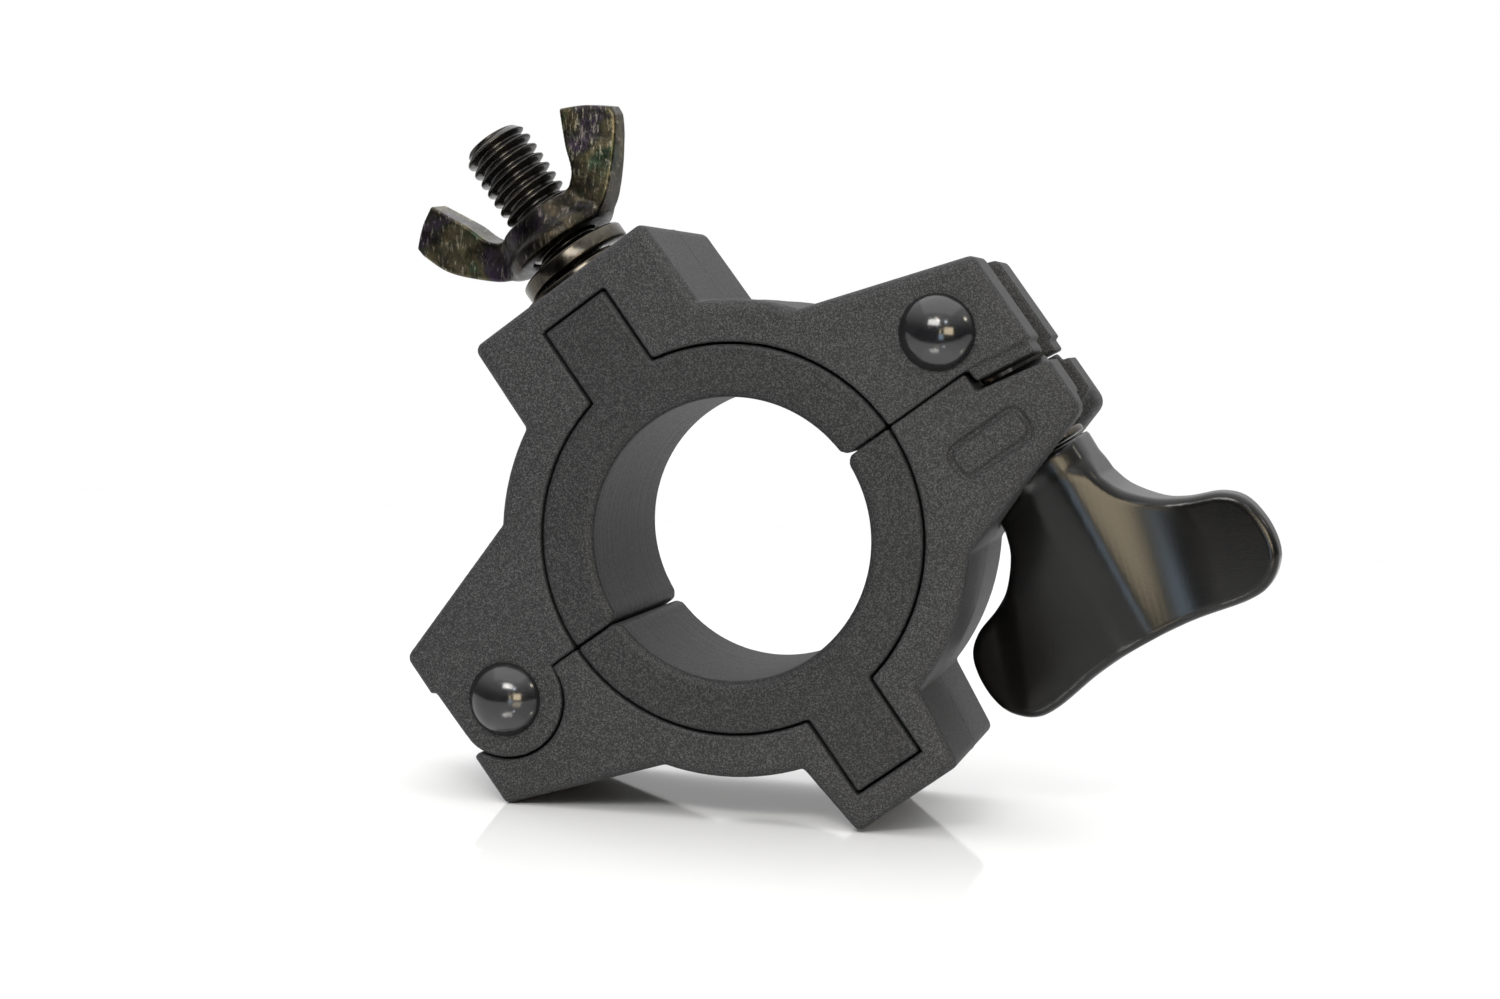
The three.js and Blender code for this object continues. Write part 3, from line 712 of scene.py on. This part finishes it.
# ---------- materials ----------
class Nodes:
    """A short hand for building one material's node tree."""

    def __init__(self, name):
        self.material = bpy.data.materials.new(name)
        self.material.use_nodes = True
        self.tree = self.material.node_tree
        self.tree.nodes.clear()
        self.shader = self.add("ShaderNodeBsdfPrincipled")
        self.output = self.add("ShaderNodeOutputMaterial")
        self.link(self.shader.outputs["BSDF"], self.output.inputs["Surface"])
        self.place = self.add("ShaderNodeTexCoord").outputs["Object"]

    def add(self, kind, **values):
        node = self.tree.nodes.new(kind)
        for key, value in values.items():
            setattr(node, key, value)
        return node

    def link(self, source, target):
        self.tree.links.new(source, target)

    def noise(self, scale, detail=2.0, roughness=0.5, distortion=0.0, stretch=None):
        node = self.add("ShaderNodeTexNoise")
        place = self.place
        if stretch:
            mapping = self.add("ShaderNodeMapping")
            mapping.inputs["Scale"].default_value = stretch
            self.link(self.place, mapping.inputs["Vector"])
            place = mapping.outputs["Vector"]
        self.link(place, node.inputs["Vector"])
        node.inputs["Scale"].default_value = scale
        node.inputs["Detail"].default_value = detail
        node.inputs["Roughness"].default_value = roughness
        node.inputs["Distortion"].default_value = distortion
        return node.outputs["Fac"]

    def ramp(self, source, stops):
        node = self.add("ShaderNodeValToRGB")
        while len(node.color_ramp.elements) < len(stops):
            node.color_ramp.elements.new(0.5)
        for element, (place, colour) in zip(node.color_ramp.elements, stops):
            element.position = place
            element.color = (*colour, 1.0)
        self.link(source, node.inputs["Fac"])
        return node.outputs["Color"]

    def spread(self, source, low, high, from_low=0.3, from_high=0.7):
        node = self.add("ShaderNodeMapRange")
        node.inputs["From Min"].default_value = from_low
        node.inputs["From Max"].default_value = from_high
        node.inputs["To Min"].default_value = low
        node.inputs["To Max"].default_value = high
        self.link(source, node.inputs["Value"])
        return node.outputs["Result"]

    def mix(self, factor, first, second, kind="MIX"):
        node = self.add("ShaderNodeMix", data_type="RGBA", blend_type=kind)
        for socket, value in ((node.inputs[0], factor), (node.inputs[6], first), (node.inputs[7], second)):
            if isinstance(value, bpy.types.NodeSocket):
                self.link(value, socket)
            else:
                socket.default_value = value if isinstance(value, float) else (*value, 1.0)
        return node.outputs[2]

    def bump(self, height, strength, distance, normal=None):
        node = self.add("ShaderNodeBump")
        node.inputs["Strength"].default_value = strength
        node.inputs["Distance"].default_value = distance
        self.link(height, node.inputs["Height"])
        if normal is not None:
            self.link(normal, node.inputs["Normal"])
        return node.outputs["Normal"]

    def set(self, **sockets):
        for name, value in sockets.items():
            socket = self.shader.inputs[name.replace("_", " ")]
            if isinstance(value, bpy.types.NodeSocket):
                self.link(value, socket)
            else:
                socket.default_value = value
        return self.material


def grained_plastic():
    """Spark-textured moulded plastic: a fine pebble with pale specks, dust and faint rubbing."""
    n = Nodes("grained_plastic")
    broad = n.noise(38.0, 3.0)
    speck = n.noise(5200.0, 2.0, 0.65)
    grain = n.noise(2600.0, 3.0, 0.7)
    base = n.ramp(broad, [(0.3, (0.0085, 0.0088, 0.0095)), (0.7, (0.0115, 0.0118, 0.0125))])
    flecks = n.ramp(speck, [(0.45, (0.0, 0.0, 0.0)), (0.72, (0.065, 0.065, 0.065))])
    colour = n.mix(1.0, base, flecks, "ADD")
    normal = n.bump(grain, 0.65, 0.00012)
    normal = n.bump(n.noise(900.0, 2.0), 0.25, 0.0001, normal)
    return n.set(Base_Color=colour, Roughness=n.spread(grain, 0.52, 0.68), Specular_IOR_Level=0.28,
                 Normal=normal)


def sleeve_plastic():
    """The same moulded plastic, with fine turning marks around the bore."""
    n = Nodes("sleeve_plastic")
    grain = n.noise(2600.0, 3.0, 0.7)
    speck = n.noise(5200.0, 2.0, 0.65)
    rings = n.noise(1500.0, 2.0, 0.6, stretch=(0.01, 1.0, 0.01))
    base = n.ramp(n.noise(38.0, 3.0), [(0.3, (0.0065, 0.0068, 0.0073)), (0.7, (0.009, 0.0093, 0.0098))])
    flecks = n.ramp(speck, [(0.45, (0.0, 0.0, 0.0)), (0.72, (0.055, 0.055, 0.055))])
    colour = n.mix(1.0, base, flecks, "ADD")
    normal = n.bump(grain, 0.5, 0.00012)
    normal = n.bump(rings, 0.7, 0.00030, normal)
    return n.set(Base_Color=colour, Roughness=n.spread(grain, 0.50, 0.66), Specular_IOR_Level=0.24,
                 Normal=normal)


def gloss_black():
    """Black lacquered steel with a faint orange peel and a few fine marks."""
    n = Nodes("gloss_black")
    peel = n.noise(420.0, 2.0)
    marks = n.noise(900.0, 4.0, 0.7, stretch=(1.0, 1.0, 6.0))
    colour = n.ramp(marks, [(0.4, (0.006, 0.006, 0.007)), (0.75, (0.014, 0.014, 0.015))])
    return n.set(Base_Color=colour, Roughness=n.spread(marks, 0.10, 0.22), Specular_IOR_Level=0.6,
                 Normal=n.bump(peel, 0.12, 0.0002))


def black_oxide():
    """Oiled black-oxide steel, with brown tints and brighter crests."""
    n = Nodes("black_oxide")
    tint = n.noise(260.0, 3.0, 0.6)
    wear = n.noise(1500.0, 4.0, 0.7)
    colour = n.ramp(tint, [(0.3, (0.016, 0.016, 0.018)), (0.55, (0.032, 0.029, 0.025)),
                           (0.75, (0.060, 0.054, 0.044))])
    return n.set(Base_Color=colour, Metallic=0.85, Roughness=n.spread(wear, 0.12, 0.30),
                 Normal=n.bump(wear, 0.25, 0.00008))


def black_chrome():
    """Dark plated spring steel, streaked round by its coiling."""
    n = Nodes("black_chrome")
    streak = n.noise(500.0, 3.0, 0.6, stretch=(1.0, 1.0, 0.3))
    colour = n.ramp(streak, [(0.3, (0.030, 0.027, 0.024)), (0.6, (0.065, 0.058, 0.046)),
                             (0.8, (0.12, 0.11, 0.09))])
    return n.set(Base_Color=colour, Metallic=1.0, Roughness=n.spread(streak, 0.14, 0.30),
                 Normal=n.bump(streak, 0.15, 0.00008))


def satin_black():
    """Satin black paint over a casting, with fine dust nibs and a few scuffs."""
    n = Nodes("satin_black")
    broad = n.noise(45.0, 2.0)
    nibs = n.noise(3000.0, 2.0)
    scuff = n.noise(160.0, 5.0, 0.75)
    colour = n.ramp(scuff, [(0.35, (0.003, 0.0028, 0.0026)), (0.68, (0.006, 0.0055, 0.005))])
    normal = n.bump(nibs, 0.10, 0.00006)
    return n.set(Base_Color=colour, Roughness=n.spread(broad, 0.20, 0.26), Metallic=0.0,
                 Specular_IOR_Level=0.3, Normal=normal)


# Painted shade: where the wing nut's colour is darkened around its hub, and how far it reaches.
HUB_SHADE = {"height": 47.5, "reach": 16 * MM}


def passivated():
    """Dark passivated casting: mottled olive, gold and violet, scratched, with painted shade darkening it
    around the hub.
    """
    n = Nodes("passivated")
    mottle = n.noise(330.0, 4.0, 0.65, 0.6)
    second = n.noise(190.0, 3.0, 0.6)
    scratch = n.noise(420.0, 6.0, 0.75, stretch=(5.0, 1.0, 1.4))
    hue = n.ramp(second, [(0.34, (0.060, 0.042, 0.070)), (0.45, (0.055, 0.054, 0.042)),
                          (0.55, (0.120, 0.100, 0.055)), (0.66, (0.050, 0.075, 0.045))])
    light = n.ramp(mottle, [(0.40, (0.25, 0.25, 0.25)), (0.66, (1.0, 1.0, 1.0))])
    colour = n.mix(1.0, hue, light, "MULTIPLY")
    marks = n.ramp(scratch, [(0.55, (0.0, 0.0, 0.0)), (0.70, (0.30, 0.28, 0.22))])
    colour = n.mix(1.0, colour, marks, "ADD")
    normal = n.bump(mottle, 0.35, 0.00025)
    normal = n.bump(scratch, 0.3, 0.0001, normal)
    # Painted shade: a round falloff about the hub multiplies the colour down to about a third near it.
    around_hub = n.add("ShaderNodeTexGradient", gradient_type="SPHERICAL")
    reach = n.add("ShaderNodeMapping", vector_type="TEXTURE")
    reach.inputs["Location"].default_value = CLAMP @ Vector((0, 0, HUB_SHADE["height"]))
    reach.inputs["Scale"].default_value = [HUB_SHADE["reach"]] * 3
    n.link(n.place, reach.inputs["Vector"])
    n.link(reach.outputs["Vector"], around_hub.inputs["Vector"])
    shade = n.ramp(around_hub.outputs["Fac"], [(0.25, (1.0, 1.0, 1.0)), (0.5, (0.34, 0.32, 0.36))])
    colour = n.mix(1.0, colour, shade, "MULTIPLY")
    return n.set(Base_Color=colour, Metallic=0.9, Roughness=n.spread(scratch, 0.24, 0.46), Normal=normal)


# ---------- assembly ----------
plastic = grained_plastic()
sleeve = sleeve_plastic()
lacquer = gloss_black()
oxide = black_oxide()
chrome = black_chrome()
satin = satin_black()
olive = passivated()

PIECES = [
    (upper_jaw(), "upper", "upper_jaw", "jaw_plastic", plastic),
    (lower_jaw(), "lower", "lower_jaw", "jaw_plastic", plastic),
    (insert("upper_insert_sleeve", 1), "upper", "upper_insert", "insert_plastic", sleeve),
    (insert("lower_insert_sleeve", -1), "lower", "lower_insert", "insert_plastic", sleeve),
    (pin("hinge_pin_domed", HINGE, False), "upper", "hinge_pin", "pin_black", lacquer),
    (pin("hinge_pin_far_cap", HINGE, True), "upper", "hinge_pin_cap", "pin_black", lacquer),
    (pin("latch_pin_domed", LATCH, False), "upper", "latch_pin", "pin_black", lacquer),
    (pin("latch_pin_far_cap", LATCH, True), "upper", "latch_pin_cap", "pin_black", lacquer),
    (eye_bolt(), "latch", "eye_bolt", "bolt_black_oxide", oxide),
    (washer("latch_washer_thin", LATCH_WASHER, ALONG_LATCH), "latch_slide", "latch_washer",
     "washer_black_chrome", chrome),
    (handle(), "handle", "handle", "handle_satin_black", satin),
    (yoke_bolt(), "upper", "yoke_bolt", "bolt_black_oxide", oxide),
    (washer("yoke_washer_flat", YOKE_WASHER, CLAMP), "yoke_slide", "yoke_washer",
     "washer_black_chrome", chrome),
    (lock_washer(), "yoke_slide", "lock_washer", "washer_black_chrome", chrome),
    (wing_nut(), "wing_nut", "wing_nut", "nut_passivated", olive),
]
for piece, body, node, slot, material in PIECES:
    piece.data.materials.append(material)
    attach(piece, body)
    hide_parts(node)


# ---------- floor and light ----------
FLOOR = {"side": 1.5, "front": -0.13, "back": 0.42, "gloss": 0.4, "polish": 0.07}


def make_floor():
    """A pale glossy table top that the clamp stands on, no deeper in front than the picture shows."""
    n = Nodes("pale_floor")
    soft = n.noise(3.0, 2.0)
    n.set(Base_Color=n.ramp(soft, [(0.3, (0.92, 0.92, 0.92)), (0.7, (0.94, 0.94, 0.94))]), Roughness=1.0,
          Specular_IOR_Level=0.0)
    polish = n.add("ShaderNodeBsdfGlossy")
    polish.inputs["Roughness"].default_value = FLOOR["polish"]
    both = n.add("ShaderNodeMixShader")
    both.inputs[0].default_value = FLOOR["gloss"]
    n.link(n.shader.outputs["BSDF"], both.inputs[1])
    n.link(polish.outputs["BSDF"], both.inputs[2])
    n.link(both.outputs[0], n.output.inputs["Surface"])
    side, front, back = FLOOR["side"], FLOOR["front"], FLOOR["back"]
    corners = [(-side, front, 0), (side, front, 0), (side, back, 0), (-side, back, 0)]
    floor = make_mesh("floor", corners, [(0, 1, 2, 3)], Matrix.Identity(4), False)
    floor.data.materials.append(n.material)


LAMP_AIM = 0.05


def area_light(name, direction, distance, size, power, colour=(1, 1, 1), sheen_only=False):
    """A soft box at a distance from the clamp; direction is (degrees right of the front, degrees up).

    With sheen_only it shows in reflections and gives no diffuse light.
    """
    target = Vector((0, 0, LAMP_AIM))
    across, up = map(math.radians, direction)
    towards = Vector((math.sin(across) * math.cos(up), -math.cos(across) * math.cos(up), math.sin(up)))
    data = bpy.data.lights.new(name, "AREA")
    data.shape = "RECTANGLE"
    data.size, data.size_y = size
    data.energy = power
    data.color = colour
    lamp = bpy.data.objects.new(name, data)
    bpy.context.scene.collection.objects.link(lamp)
    lamp.location = target + towards * distance
    lamp.visible_camera = False
    lamp.visible_diffuse = not sheen_only
    lamp.rotation_mode = "QUATERNION"
    lamp.rotation_quaternion = (-towards).to_track_quat("-Z", "Y")


# Axis, where its light starts and is full, and its strength.
WORLD_SHARES = (("Z", 0.0, 1.0, 1.55), ("Y", 0.0, 0.7, 0.52))
WORLD_BASE = 0.06


def make_world():
    """A white studio to look at; it lights the clamp from above and behind, and little from in front."""
    world = bpy.data.worlds.new("studio")
    bpy.context.scene.world = world
    world.use_nodes = True
    tree = world.node_tree
    tree.nodes.clear()
    place = tree.nodes.new("ShaderNodeTexCoord")
    split = tree.nodes.new("ShaderNodeSeparateXYZ")
    tree.links.new(place.outputs["Generated"], split.inputs["Vector"])
    shares = []
    for axis, start, end, strength in WORLD_SHARES:
        share = tree.nodes.new("ShaderNodeMapRange")
        share.interpolation_type = "SMOOTHSTEP"
        share.inputs["From Min"].default_value = start
        share.inputs["From Max"].default_value = end
        share.inputs["To Max"].default_value = strength
        tree.links.new(split.outputs[axis], share.inputs["Value"])
        shares.append(share.outputs["Result"])
    both = tree.nodes.new("ShaderNodeMath")
    tree.links.new(shares[0], both.inputs[0])
    tree.links.new(shares[1], both.inputs[1])
    total = tree.nodes.new("ShaderNodeMath")
    tree.links.new(both.outputs[0], total.inputs[0])
    total.inputs[1].default_value = WORLD_BASE
    light = tree.nodes.new("ShaderNodeBackground")
    tree.links.new(total.outputs[0], light.inputs["Strength"])
    light.inputs["Color"].default_value = (1.0, 1.0, 1.0, 1.0)
    sight = tree.nodes.new("ShaderNodeBackground")
    sight.inputs["Color"].default_value = (1.0, 1.0, 1.0, 1.0)
    ray = tree.nodes.new("ShaderNodeLightPath")
    choice = tree.nodes.new("ShaderNodeMixShader")
    tree.links.new(ray.outputs["Is Camera Ray"], choice.inputs[0])
    tree.links.new(light.outputs[0], choice.inputs[1])
    tree.links.new(sight.outputs[0], choice.inputs[2])
    output = tree.nodes.new("ShaderNodeOutputWorld")
    tree.links.new(choice.outputs[0], output.inputs["Surface"])


make_world()
make_floor()
area_light("overhead", (0, 88), 1.40, (2.2, 2.2), 10.0)
area_light("near_top", (-4, 27), 0.22, (0.10, 0.05), 0.24, (1.0, 0.99, 0.97))
area_light("warm_side", (31, 5), 0.60, (0.24, 0.18), 1.4, (1.0, 0.84, 0.58), True)
area_light("gold_strip", (11, 3), 0.60, (0.02, 0.14), 0.12, (1.0, 0.86, 0.60))
area_light("cool_front", (13, -10), 0.60, (0.11, 0.12), 0.22, (0.60, 0.80, 1.0))
area_light("spot_left", (-3, 36), 0.60, (0.03, 0.03), 0.10, (1.0, 0.90, 0.72))
area_light("spot_middle", (3, 31), 0.60, (0.03, 0.03), 0.10, (1.0, 0.90, 0.72))
area_light("spot_cool", (24, 27), 0.60, (0.05, 0.05), 0.2, (0.85, 0.93, 1.0))
area_light("spot_right", (84, 30), 0.60, (0.06, 0.06), 0.2, (1.0, 0.93, 0.75))
bpy.context.scene.view_settings.view_transform = "Standard"
